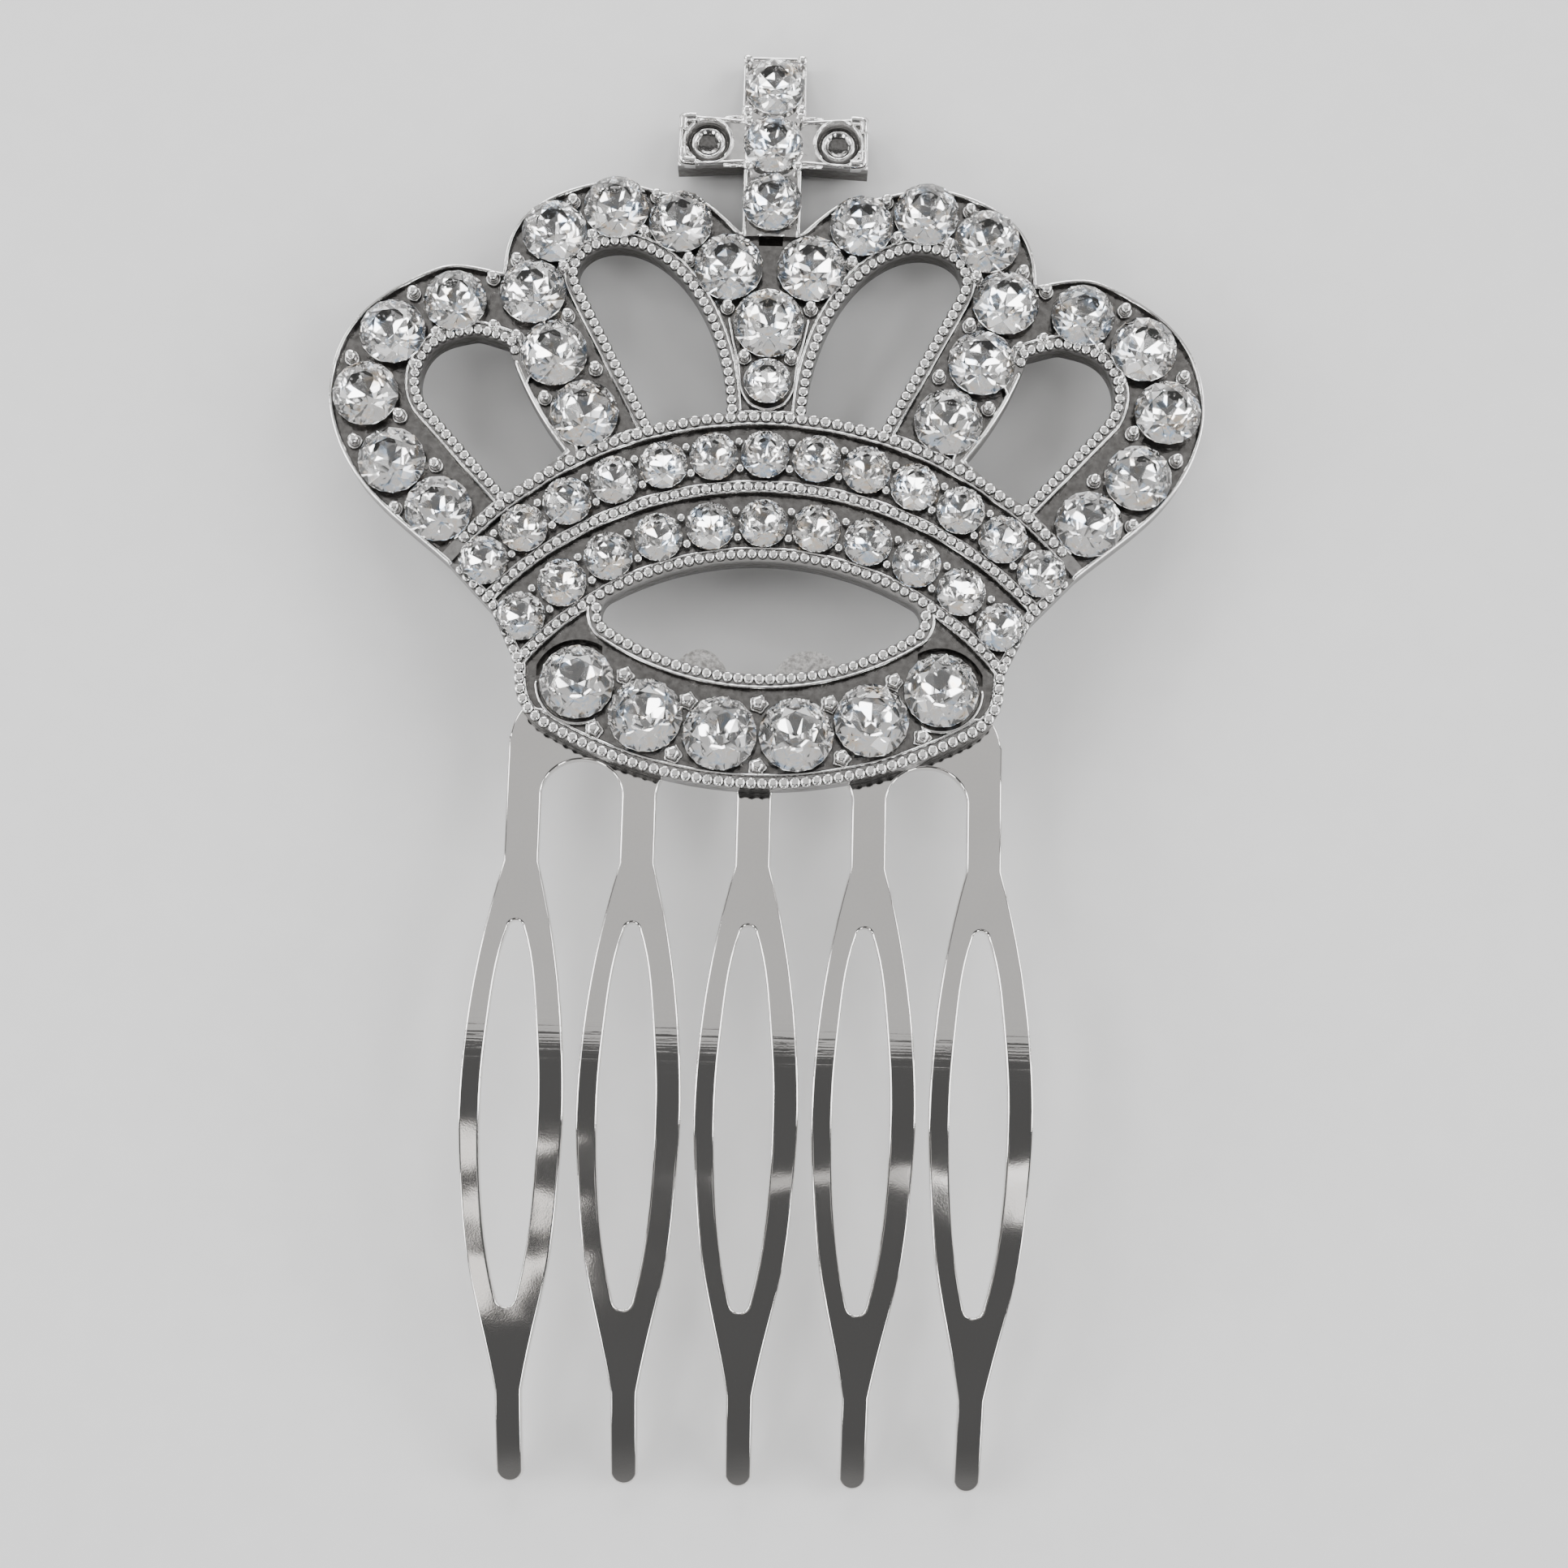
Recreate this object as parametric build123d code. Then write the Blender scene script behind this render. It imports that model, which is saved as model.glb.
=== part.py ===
from build123d import *
import math
import os

# A crown-shaped hair comb set with rhinestones, lying on its back.
# It is drawn flat first: x to the right, y up towards the cross, z = 0 on the back of the casting
# and z growing towards the viewer. At the end it is tipped so that it rests on the top of the
# cross and on the tips of the teeth.

# casting, heights above its back
RIM_TOP = 1.7
TRAY_FLOOR = 1.3
RECESS_FLOOR = 0.55
SEAT_AIR = 0.2
SEAT_TOP = 1.9
GIRDLE = 2.05
PRONG_TOP = 2.3
PRONG_RADIUS = 0.28
RIM = 0.25  # width of the plain outer rim
EDGE = 0.31  # half the width of a beaded edge
LEDGE = 0.84  # width of a beaded edge with the narrow ledge beside it
FIT = 0.05  # air between neighbouring pieces

# arcs of the band and the ring, as the height of the centre and the radius of the beaded line
BAND_TOP = (-1.65, 26.1)
BAND_MIDDLE = (-4.1, 23.8)
BAND_LOW = (-4.7, 19.85)
RING_INNER = (25.25, 18.4)
RING_OUTER = (27.45, 27.4)

# rows of equal stones: centre height, radius of the arc, number of stones, turn between two, diameter
UPPER_ROW = (-3.45, 25.25, 13, 7.6, 3.2)
LOWER_ROW = (-4.35, 21.5, 11, 9.2, 3.2)
RING_ROW = (25.57, 22.5, 6, 12.5, 4.82)

# stones of the right half, as name, x, y and diameter, from the band outwards
LOOP_STONES = (
    ("loop_1", 21.1, 17.6, 4.4),
    ("loop_2", 24.3, 20.8, 4.4),
    ("loop_3", 26.25, 25.3, 4.35),
    ("loop_4", 24.7, 29.6, 4.4),
    ("loop_5", 20.7, 31.85, 4.2),
)
ARCH_STONES = (
    ("arch_1", 11.9, 24.3, 4.5),
    ("arch_2", 14.05, 28.4, 4.46),
    ("arch_3", 15.6, 32.6, 4.4),
    ("arch_4", 14.35, 36.85, 4.35),
    ("arch_5", 10.3, 38.65, 4.35),
    ("arch_6", 6.0, 37.75, 4.25),
    ("arch_7", 2.75, 34.65, 4.6),
)
MIDDLE_STONES = (
    ("middle_large", 0.0, 30.8, 4.7),
    ("middle_small", 0.0, 26.83, 3.1),
)
CROSS_STONES = (
    ("cross_low", 0.0, 39.3, 4.03),
    ("cross_centre", 0.0, 43.4, 4.03),
    ("cross_top", 0.0, 47.5, 4.03),
)

# round prongs beside the gaps between the main stones, as x and y of the right half
PRONGS = (
    (23.95, 17.65),
    (21.5, 20.65),
    (26.85, 22.15),
    (24.0, 23.95),
    (27.35, 27.85),
    (23.2, 27.35),
    (23.5, 32.4),
    (21.85, 29.6),
    (18.3, 33.6),
    (18.1, 30.2),
    (16.55, 29.55),
    (14.55, 25.4),
    (11.3, 27.5),
    (13.25, 31.1),
    (16.75, 34.9),
    (13.65, 34.4),
    (11.85, 36.65),
    (13.2, 39.1),
    (8.4, 37.0),
    (7.65, 39.62),
    (5.4, 35.2),
    (2.75, 31.97),
    (1.55, 28.56),
    (10.5, 3.3),
    (5.4, 1.85),
    (4.55, 5.35),
    (8.65, 6.9),
)
AXIS_PRONGS = ((0.0, 1.15), (0.0, 5.25))

# a cut stone, in parts of its radius; every stone is turned and leans a little, as set by hand
STONE_LEAN = 1.4
TABLE = 0.56
STAR = 0.74
CROWN_HEIGHT = 0.41
GIRDLE_HEIGHT = 0.06
PAVILION_DEPTH = 0.64
LOWER_HALVES = 0.48
SIDES = 16

# cross
CROSS_ARM = 6.35
CROSS_HALF_HEIGHT = 1.85
CROSS_NARROW = 1.55
CROSS_CENTRE = 43.65
STEM_HALF = 1.95
HEAD_HALF = 2.15
HEAD_TOP = 49.75
ARM_CUP_X = 4.35
ARM_CUP_RADIUS = 1.65

# comb, lengths along the sheet measured down from y = 0
SHEET = 0.9
SPINE_TOP = 6.3
SPINE_CORNER = 3.4
COMB_HALF = 15.9
COMB_SHIFT = -0.15  # the comb is glued on a little off the middle
TOOTH_PITCH = 7.42
TOOTH_COUNT = 5
NECK_HALF = 1.12
GAP_TOP = 1.65
GAP_ROUND = 2.3
FLARE_START = 5.0
SHANK_START = 39.3
SHANK_HALF = 0.87
TOOTH_END = 46.4
SLOT_OFFSET = -0.15
BEND_START = 14.3
BEND_RADIUS = 53.0
# half width of a tooth at some lengths
TOOTH_SHAPE = ((9.0, 2.08), (13.2, 2.79), (17.0, 3.17), (21.5, 3.31), (25.5, 3.1), (30.3, 2.62), (35.0, 1.68))
SLOT_SHAPE = ((9.3, 0.5), (11.0, 0.97), (14.6, 1.45), (18.3, 1.75), (21.8, 1.81), (25.0, 1.7), (29.0, 1.34), (32.9, 0.62))
SLOT_TOP = 8.85
SLOT_BOTTOM = 33.5

# glue behind the ring, as name, x, half width and top
GLUE = (("glue_dab_left", -3.9, 2.0, 9.15), ("glue_dab_right", 3.2, 2.6, 9.2))
GLUE_DEPTH = 1.2


def on_arc(arc, x):
    """The point of a band or ring arc at x: an arc centred low is used at its top, one centred high at its bottom."""
    centre, radius = arc[0], arc[1]
    rise = math.sqrt(radius**2 - x**2)
    return (x, centre + rise if centre < 10 else centre - rise)


def row_places(row):
    """Centres and diameter of the stones of an even row."""
    centre, radius, count, turn, diameter = row
    places = []
    for i in range(count):
        angle = math.radians((i - (count - 1) / 2) * turn)
        up = radius * math.cos(angle)
        places.append((radius * math.sin(angle), centre + up if centre < 10 else centre - up, diameter))
    return places


def both_sides(stones):
    """The named stones of the right half and their mirror images."""
    named = []
    for name, x, y, diameter in stones:
        named.append((name + "_right", x, y, diameter))
        named.append((name + "_left", -x, y, diameter))
    return named


def disc(x, y, radius):
    return Pos(x, y) * Circle(radius)


def face_of(*edges):
    return make_face(Curve() + list(edges))


def loop_opening():
    """The opening of the right outer loop, from its low corner round the loop and down the leg of the arch."""
    low, high, leg = (16.9, 18.85), (17.15, 29.1), (13.1, 21.8)
    band = on_arc((BAND_TOP[0], BAND_TOP[1] + EDGE), 15.0)
    return face_of(
        Line(low, (22.0, 24.4)),
        Spline((22.0, 24.4), (22.85, 26.5), (21.5, 29.0), (19.7, 29.6), high, tangents=((0.68, 0.73), (-1, -0.3))),
        ThreePointArc(high, (15.6, 25.5), leg),
        ThreePointArc(leg, band, low),
    )


def arch_opening():
    """The opening of the right inner arch, from its inner low corner over the top and down the leg."""
    inner, outer = (2.55, 24.6), (7.5, 23.65)
    band = on_arc((BAND_TOP[0], BAND_TOP[1] + EDGE), 5.0)
    return face_of(
        Spline(inner, (3.75, 30.4), (7.2, 35.1), (9.8, 36.1), (12.2, 35.3), (12.5, 33.2), tangents=((0.05, 1), (-0.47, -0.88))),
        Line((12.5, 33.2), outer),
        ThreePointArc(outer, band, inner),
    )


def oval_opening():
    """The eye-shaped opening between the band and the ring, with its two corners rounded."""
    upper = disc(0, BAND_LOW[0], BAND_LOW[1] - EDGE - 0.15)
    lower = disc(0, RING_INNER[0], RING_INNER[1] - EDGE)
    eye = upper & lower
    return fillet(eye.vertices(), 1.2)


def outline_right():
    """Outer edge of the right half, without the cross: ring, end of the band, loop and arch."""
    ring_side, ring_end = on_arc((RING_OUTER[0], RING_OUTER[1] + EDGE), 13.9), (15.75, 7.5)
    bottom = (0, RING_OUTER[0] - RING_OUTER[1] - EDGE)
    band_end = (20.4, 14.1)
    loop_end = (17.7, 34.0)
    top = (0, 37.3)
    return face_of(
        ThreePointArc(bottom, on_arc((RING_OUTER[0], RING_OUTER[1] + EDGE), 7.0), ring_side),
        Spline(ring_side, (15.45, 5.2), ring_end, tangents=((0.86, 0.5), (0.05, 1))),
        Line(ring_end, (17.45, 11.0)),
        Line((17.45, 11.0), band_end),
        Spline(band_end, (26.7, 19.9), (28.75, 25.6), (26.9, 31.0), (22.4, 34.1), loop_end, tangents=((0.75, 0.66), (-1, -0.25))),
        Spline(loop_end, (16.4, 38.1), (12.9, 40.2), (10.3, 40.6), (6.2, 39.7), (2.0, 37.2), tangents=((0, 1), (-0.7, -0.72))),
        Line((2.0, 37.2), top),
        Line(top, bottom),
    )


def cross_plan():
    """The cross: a stem, two arms that are a little narrower beside the centre, and a square head."""
    low = CROSS_CENTRE - CROSS_HALF_HEIGHT
    high = CROSS_CENTRE + CROSS_HALF_HEIGHT
    stem = Pos(0, (36.5 + low + 0.5) / 2) * Rectangle(2 * STEM_HALF, low + 0.5 - 36.5)
    head = Pos(0, (high - 0.5 + HEAD_TOP) / 2) * Rectangle(2 * HEAD_HALF, HEAD_TOP - high + 0.5)
    near = 1.8
    right = face_of(
        Line((0, CROSS_CENTRE - CROSS_NARROW), (near, CROSS_CENTRE - CROSS_NARROW)),
        ThreePointArc((near, CROSS_CENTRE - CROSS_NARROW), (4.2, low + 0.12), (CROSS_ARM, low)),
        Line((CROSS_ARM, low), (CROSS_ARM, high)),
        ThreePointArc((CROSS_ARM, high), (4.2, high - 0.12), (near, CROSS_CENTRE + CROSS_NARROW)),
        Line((near, CROSS_CENTRE + CROSS_NARROW), (0, CROSS_CENTRE + CROSS_NARROW)),
        Line((0, CROSS_CENTRE + CROSS_NARROW), (0, CROSS_CENTRE - CROSS_NARROW)),
    )
    centre = disc(0, CROSS_STONES[1][2], CROSS_STONES[1][3] / 2 + 0.25)
    return stem + head + right + mirror(right, about=Plane.YZ) + centre


def openings():
    """All five openings, in plan."""
    right = [loop_opening(), arch_opening()]
    return right + [mirror(hole, about=Plane.YZ) for hole in right] + [oval_opening()]


def arc_strip(arc, below, above):
    """The strip along a band or ring arc between two distances from its beaded line."""
    centre, radius = arc
    return disc(0, centre, radius + above) - disc(0, centre, radius - below)


def grown(shape, amount, step=0.4):
    """The shape made larger or smaller all round, its edge drawn through points a short step apart."""
    wire = offset(shape, amount).faces()[0].outer_wire()
    count = round(wire.length / step)
    points = [wire.position_at(i / count) for i in range(count)]
    return make_face(Polyline(*points, close=True))


def tray(solid_plan):
    """The sunk floor between the rims and the beaded edges, where the stones sit."""
    floor = grown(solid_plan, -RIM)
    leg_side = Pos(14.4, 25.6) * Rot(Z=28) * Rectangle(3.2, 9.5)
    loop = grown(loop_opening(), LEDGE) - leg_side + grown(loop_opening(), RIM)
    arch = grown(arch_opening(), LEDGE)
    for strip in (loop, arch):
        floor -= strip
        floor -= mirror(strip, about=Plane.YZ)
    floor -= grown(oval_opening(), LEDGE)
    floor -= arc_strip(BAND_TOP, 0.5, 0.33)
    floor -= arc_strip(BAND_MIDDLE, 0.33, 0.33)
    floor -= arc_strip(BAND_LOW, 0.33, 0.33)
    ends = Pos(0, 7.0) * Rectangle(60, 14.0)
    floor -= ends - grown(solid_plan, -2 * EDGE)
    ring = Pos(0, 2.0) * Rectangle(30, 5.0)
    return floor - (ring - grown(solid_plan, -LEDGE))


def named_stones():
    """All stones that are nodes of their own, as name, x, y and diameter."""
    ring = [("ring_%d" % (i + 1), x, y, d) for i, (x, y, d) in enumerate(row_places(RING_ROW))]
    return both_sides(LOOP_STONES) + both_sides(ARCH_STONES) + list(MIDDLE_STONES) + list(CROSS_STONES) + ring


def prong_places():
    """Round prongs beside the gaps between two main stones, on both halves."""
    return list(PRONGS) + [(-x, y) for x, y in PRONGS] + list(AXIS_PRONGS)


def seat(x, y, diameter):
    """The cone under a stone, a little wider than the stone's lower part."""
    radius = diameter / 2
    point = GIRDLE - (GIRDLE_HEIGHT / 2 + PAVILION_DEPTH) * radius
    at_top = (SEAT_TOP - point) / PAVILION_DEPTH + SEAT_AIR
    up = (Align.CENTER, Align.CENTER, Align.MIN)
    return Pos(x, y, point - FIT) * Cone(SEAT_AIR, at_top, SEAT_TOP + FIT - point, align=up)


def arm_cup(x):
    """An empty polished seat in an arm of the cross: a wide cone, a ledge and a small cone with a flat floor."""
    up = (Align.CENTER, Align.CENTER, Align.MIN)
    wide = Pos(x, CROSS_CENTRE, 1.1) * Cone(1.35, ARM_CUP_RADIUS, 0.9, align=up)
    small = Pos(x, CROSS_CENTRE, 0.5) * Cone(0.55, 1.0, 0.7, align=up)
    return wide + small


def claws():
    """Corner posts that hold the top stone, four round the centre stone and the corner ends of the arms."""
    up = (Align.CENTER, Align.CENTER, Align.MIN)
    posts = []
    _, _, y, diameter = CROSS_STONES[2]
    centre = CROSS_STONES[1][2]
    for side in (1, -1):
        for end in (1, -1):
            corner = HEAD_HALF - 0.3
            posts.append(Pos(side * corner, y + end * corner, 0.3) * Cylinder(0.3, PRONG_TOP - 0.3, align=up))
            posts.append(Pos(side * 1.66, centre + end * 1.66, 0.3) * Cylinder(PRONG_RADIUS, PRONG_TOP - 0.3, align=up))
            arm = (side * (CROSS_ARM - 0.36), CROSS_CENTRE + end * (CROSS_HALF_HEIGHT - 0.36), 0.3)
            posts.append(Pos(*arm) * Cylinder(0.34, RIM_TOP, align=up))
    return posts


def crown_frame():
    """The casting: a pierced plate with a sunk tray between its rims, cone seats and prongs."""
    half = outline_right()
    solid_plan = half + mirror(half, about=Plane.YZ)
    plan = solid_plan + cross_plan()
    for hole in openings():
        plan -= hole
    body = extrude(plan, RIM_TOP)
    body -= Pos(0, 0, TRAY_FLOOR) * extrude(tray(solid_plan), 2)
    body -= Pos(0, 36.75, 0.6) * Box(1.6, 0.55, 2, align=(Align.CENTER, Align.CENTER, Align.MIN))

    x, y, diameter = row_places(RING_ROW)[-1]
    around = disc(x, y, diameter / 2 + 0.55) - disc(x, y, diameter / 2 - 0.7)
    recess = around & Pos(x + 0.6, y + 2.2) * Rectangle(4.2, 3.4)
    for cut in (recess, mirror(recess, about=Plane.YZ)):
        body -= Pos(0, 0, RECESS_FLOOR) * extrude(cut, 2)

    places = [(x, y, d) for _, x, y, d in named_stones()] + row_places(UPPER_ROW) + row_places(LOWER_ROW)
    body -= [seat(*place) for place in places]
    body -= [arm_cup(ARM_CUP_X), arm_cup(-ARM_CUP_X)]

    up = (Align.CENTER, Align.CENTER, Align.MIN)
    posts = [Pos(x, y, 0.3) * Cylinder(PRONG_RADIUS, PRONG_TOP - 0.3, align=up) for x, y in prong_places()]
    return body + posts + claws()


def stone(x, y, diameter, number):
    """A cut stone with a table, 8 stars, 8 kites, 16 halves, a thin girdle and a faceted lower part."""
    radius = diameter / 2
    step = 2 * math.pi / SIDES

    def at(reach, turn, height):
        angle = turn * step
        return Vector(radius * reach * math.cos(angle), radius * reach * math.sin(angle), radius * height)

    beta = math.cos(step)
    top = GIRDLE_HEIGHT / 2
    star_height = top + CROWN_HEIGHT * (1 - STAR * beta) / (1 - TABLE)
    half_depth = -top - PAVILION_DEPTH * (1 - LOWER_HALVES * beta)
    culet = at(0, 0, -top - PAVILION_DEPTH)
    table = [at(TABLE, 2 * j, top + CROWN_HEIGHT) for j in range(8)]
    star = [at(STAR, 2 * j + 1, star_height) for j in range(8)]
    rim = [at(1, k, top) for k in range(SIDES)]
    foot = [at(1, k, -top) for k in range(SIDES)]
    deep = [at(LOWER_HALVES, 2 * j + 1, half_depth) for j in range(8)]

    facets = [table]
    for j in range(8):
        after, before = (j + 1) % 8, (j - 1) % 8
        k = 2 * j
        facets.append([table[j], star[j], table[after]])
        facets.append([table[j], star[before], rim[k], star[j]])
        facets.append([star[j], rim[k], rim[k + 1]])
        facets.append([star[j], rim[k + 1], rim[(k + 2) % SIDES]])
        facets.append([culet, deep[before], foot[k], deep[j]])
        facets.append([deep[j], foot[k], foot[k + 1]])
        facets.append([deep[j], foot[k + 1], foot[(k + 2) % SIDES]])
    for k in range(SIDES):
        after = (k + 1) % SIDES
        facets.append([rim[k], foot[k], foot[after], rim[after]])
    faces = [Face(Wire.make_polygon(points)) for points in facets]
    lean_to = 137 * number
    lean = Rot(Z=lean_to) * Rot(X=STONE_LEAN) * Rot(Z=17 * number - lean_to)
    return Pos(x, y, GIRDLE) * lean * Solid(Shell(faces))


def along_sheet(length):
    """Height y of a place on the front of the comb, from its length down the sheet."""
    if length <= BEND_START:
        return -length
    return -BEND_START - BEND_RADIUS * math.sin((length - BEND_START) / BEND_RADIUS)


def tooth_plan(x):
    """One tooth from inside the spine to its tip."""
    top, flare, shank = -GAP_TOP - 1.5, FLARE_START, SHANK_START
    end = TOOTH_END - SHANK_HALF
    right = [(x + half, along_sheet(length)) for length, half in TOOTH_SHAPE]
    left = [(x - half, y) for (length, half), (_, y) in zip(TOOTH_SHAPE, right)]
    neck_r, neck_l = (x + NECK_HALF, along_sheet(flare)), (x - NECK_HALF, along_sheet(flare))
    shank_r, shank_l = (x + SHANK_HALF, along_sheet(shank)), (x - SHANK_HALF, along_sheet(shank))
    end_r, end_l = (x + SHANK_HALF, along_sheet(end)), (x - SHANK_HALF, along_sheet(end))
    return face_of(
        Line((x - NECK_HALF, along_sheet(top)), (x + NECK_HALF, along_sheet(top))),
        Line((x + NECK_HALF, along_sheet(top)), neck_r),
        Spline(neck_r, *right, shank_r),
        Line(shank_r, end_r),
        ThreePointArc(end_r, (x, along_sheet(TOOTH_END)), end_l),
        Line(end_l, shank_l),
        Spline(shank_l, *left[::-1], neck_l),
        Line(neck_l, (x - NECK_HALF, along_sheet(top))),
    )


def slot_plan(x):
    """The long slot of one tooth."""
    middle = x + SLOT_OFFSET
    right = [(middle + half, along_sheet(length)) for length, half in SLOT_SHAPE]
    left = [(2 * middle - px, py) for px, py in right]
    return face_of(
        Spline(*right),
        ThreePointArc(right[-1], (middle, along_sheet(SLOT_BOTTOM)), left[-1]),
        Spline(*left[::-1]),
        ThreePointArc(left[0], (middle, along_sheet(SLOT_TOP)), right[0]),
    )


def tooth_places():
    return [(i - (TOOTH_COUNT - 1) / 2) * TOOTH_PITCH for i in range(TOOTH_COUNT)]


def comb():
    """The stamped comb: its plan cut out of a sheet that is flat above and bent below."""
    foot = -(GAP_ROUND - GAP_TOP)
    block = Pos(0, (SPINE_TOP + foot) / 2) * Rectangle(2 * COMB_HALF, SPINE_TOP - foot)
    block = fillet([v for v in block.vertices() if v.Y > 0], SPINE_CORNER)
    places = tooth_places()
    plan = block
    for x in places:
        plan += tooth_plan(x)
    gap_half = TOOTH_PITCH / 2 - NECK_HALF
    for x0, x1 in zip(places, places[1:]):
        middle = (x0 + x1) / 2
        plan -= Pos(middle, foot) * Ellipse(gap_half, GAP_ROUND)
    for x in places:
        plan -= slot_plan(x)
    front = -FIT
    bend = -BEND_START
    sweep = (along_sheet(TOOTH_END) - bend) / BEND_RADIUS
    steep = math.asin(-sweep) * 1.08

    def bent(radius, angle):
        return (bend - radius * math.sin(angle), front - BEND_RADIUS + radius * math.cos(angle))

    inner = BEND_RADIUS - SHEET
    profile = make_face(
        Plane.YZ
        * (
            Curve()
            + [
                Line((SPINE_TOP + 1, front), (bend, front)),
                ThreePointArc((bend, front), bent(BEND_RADIUS, steep / 2), bent(BEND_RADIUS, steep)),
                Line(bent(BEND_RADIUS, steep), bent(inner, steep)),
                ThreePointArc(bent(inner, steep), bent(inner, steep / 2), (bend, front - SHEET)),
                Line((bend, front - SHEET), (SPINE_TOP + 1, front - SHEET)),
                Line((SPINE_TOP + 1, front - SHEET), (SPINE_TOP + 1, front)),
            ]
        )
    )
    sheet = extrude(profile, COMB_HALF + 3, both=True)
    return sheet & Pos(COMB_SHIFT, 0, -20) * extrude(plan, 21)


def glue_dab(x, half, top):
    """A lump of clear glue on the top edge of the spine, behind the ring."""
    base = SPINE_TOP + FIT
    lump = Pos(x, base, -FIT) * scale(Sphere(1), by=(half, top - base, GLUE_DEPTH))
    keep = Pos(x, base, -FIT) * Box(3 * half, 5, 2 * GLUE_DEPTH, align=(Align.CENTER, Align.MIN, Align.MAX))
    return lump & keep


def rest_tilt():
    """Turn about x that brings the back of the cross and the tips of the teeth to the same height."""
    tip_y = along_sheet(TOOTH_END)
    inner = BEND_RADIUS - SHEET
    tip_z = -FIT - BEND_RADIUS + math.sqrt(inner**2 - (BEND_START + tip_y) ** 2)
    return math.degrees(math.atan2(-tip_z, HEAD_TOP - tip_y))


def build():
    """All nodes, drawn flat."""
    nodes = {"crown_frame": crown_frame(), "comb": comb()}
    for name, x, half, top in GLUE:
        nodes[name] = glue_dab(x, half, top)
    for number, (name, x, y, diameter) in enumerate(named_stones()):
        nodes["stone_" + name] = stone(x, y, diameter, number)
    for name, row in (("upper_row_stones", UPPER_ROW), ("lower_row_stones", LOWER_ROW)):
        nodes[name] = Compound([stone(*place, number) for number, place in enumerate(row_places(row))])
    return nodes


def stand(nodes):
    """Tip the flat drawing to its rest, with its box centred over the origin and its lowest point at z = 0."""
    tipped = {name: Rot(X=-rest_tilt()) * shape for name, shape in nodes.items()}
    box = Compound(list(tipped.values())).bounding_box()
    shift = Pos(-(box.min.X + box.max.X) / 2, -(box.min.Y + box.max.Y) / 2, -box.min.Z)
    return {name: shift * shape for name, shape in tipped.items()}


os.makedirs("parts", exist_ok=True)
for name, shape in stand(build()).items():
    export_step(shape, "parts/%s.step" % name)
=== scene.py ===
import math
import random

import bmesh
import bpy
from mathutils import Matrix, Vector, geometry
from mathutils.bvhtree import BVHTree


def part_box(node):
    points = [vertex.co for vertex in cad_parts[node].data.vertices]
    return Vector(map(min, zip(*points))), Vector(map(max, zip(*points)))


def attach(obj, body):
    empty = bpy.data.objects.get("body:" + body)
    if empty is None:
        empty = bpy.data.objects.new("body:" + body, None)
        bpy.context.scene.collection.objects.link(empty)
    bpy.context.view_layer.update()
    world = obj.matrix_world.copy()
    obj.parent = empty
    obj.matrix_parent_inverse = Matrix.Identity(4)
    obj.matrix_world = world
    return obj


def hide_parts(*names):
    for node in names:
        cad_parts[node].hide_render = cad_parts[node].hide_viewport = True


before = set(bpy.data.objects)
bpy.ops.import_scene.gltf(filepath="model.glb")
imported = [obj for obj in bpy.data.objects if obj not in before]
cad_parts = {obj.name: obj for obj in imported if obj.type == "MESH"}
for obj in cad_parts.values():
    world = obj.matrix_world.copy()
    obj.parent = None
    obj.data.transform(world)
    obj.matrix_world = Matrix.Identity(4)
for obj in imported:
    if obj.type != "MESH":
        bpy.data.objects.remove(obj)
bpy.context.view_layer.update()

# The crown's own drawing, in millimetres: x to the right, y up towards the cross, z = 0 on its back.
RIM_TOP = 1.7
PRONG_TOP = 2.3
TRAY_FLOOR = 1.3
HEAD_TOP = 49.75
EDGE = 0.31
CROSS_FOOT = 41

# arcs of the beaded edges: centre height, radius and half the angle they span
BAND_TOP = (-1.65, 26.1, 48.0)
BAND_MIDDLE = (-4.1, 23.8, 47.5)
BAND_LOW = (-4.7, 19.85, 49.5)

# rows of small stones: centre height, radius, number of stones and turn between two
ROWS = ((-3.45, 25.25, 13, 7.6), (-4.35, 21.5, 11, 9.2))

# end stones of the ring: place and radius; the cross: heights, half widths and the arms' cups
RING_END = (11.67, 6.33)
RING_STONE = 2.41
CROSS_CENTRE = 43.65
CROSS_ARM = 6.35
CROSS_HALF = 1.85
ARM_CUP_X = 4.35
HEAD_CENTRE = 47.5
HEAD_HALF = 2.15

# the comb: where its bend starts, the bend's radius, its thickness, the air under the crown,
# its length down the sheet and the rounding of its stamped edges
BEND_START = 14.3
BEND_RADIUS = 53.0
SHEET = 0.9
FIT = 0.05
TOOTH_END = 46.4
FRONT_ROLL = 0.17
BACK_ROLL = 0.14
BEND_STEP = 0.8


def along_sheet(length):
    """Height y of a place on the comb's front, from its length down the sheet."""
    if length <= BEND_START:
        return -length
    return -BEND_START - BEND_RADIUS * math.sin((length - BEND_START) / BEND_RADIUS)


def sheet_height(y, depth):
    """Height over the back of the crown of the sheet at a depth below the comb's front."""
    lean = max(0.0, -BEND_START - y)
    return -FIT - BEND_RADIUS + math.sqrt((BEND_RADIUS - depth) ** 2 - lean**2)


def rest_tilt():
    """Turn about x that puts the cross and the tips of the teeth on the floor."""
    tip_y = along_sheet(TOOTH_END)
    return math.atan2(-sheet_height(tip_y, SHEET), HEAD_TOP - tip_y)


TILT = rest_tilt()
top_edge = HEAD_TOP * math.cos(TILT) + RIM_TOP * math.sin(TILT)
SHIFT = Vector((0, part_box("crown_frame")[1].y * 1000 - top_edge, HEAD_TOP * math.sin(TILT)))
TO_ROW = Matrix.Scale(0.001, 4) @ Matrix.Translation(SHIFT) @ Matrix.Rotation(-TILT, 4, "X")
TO_DRAWING = TO_ROW.inverted()

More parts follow.
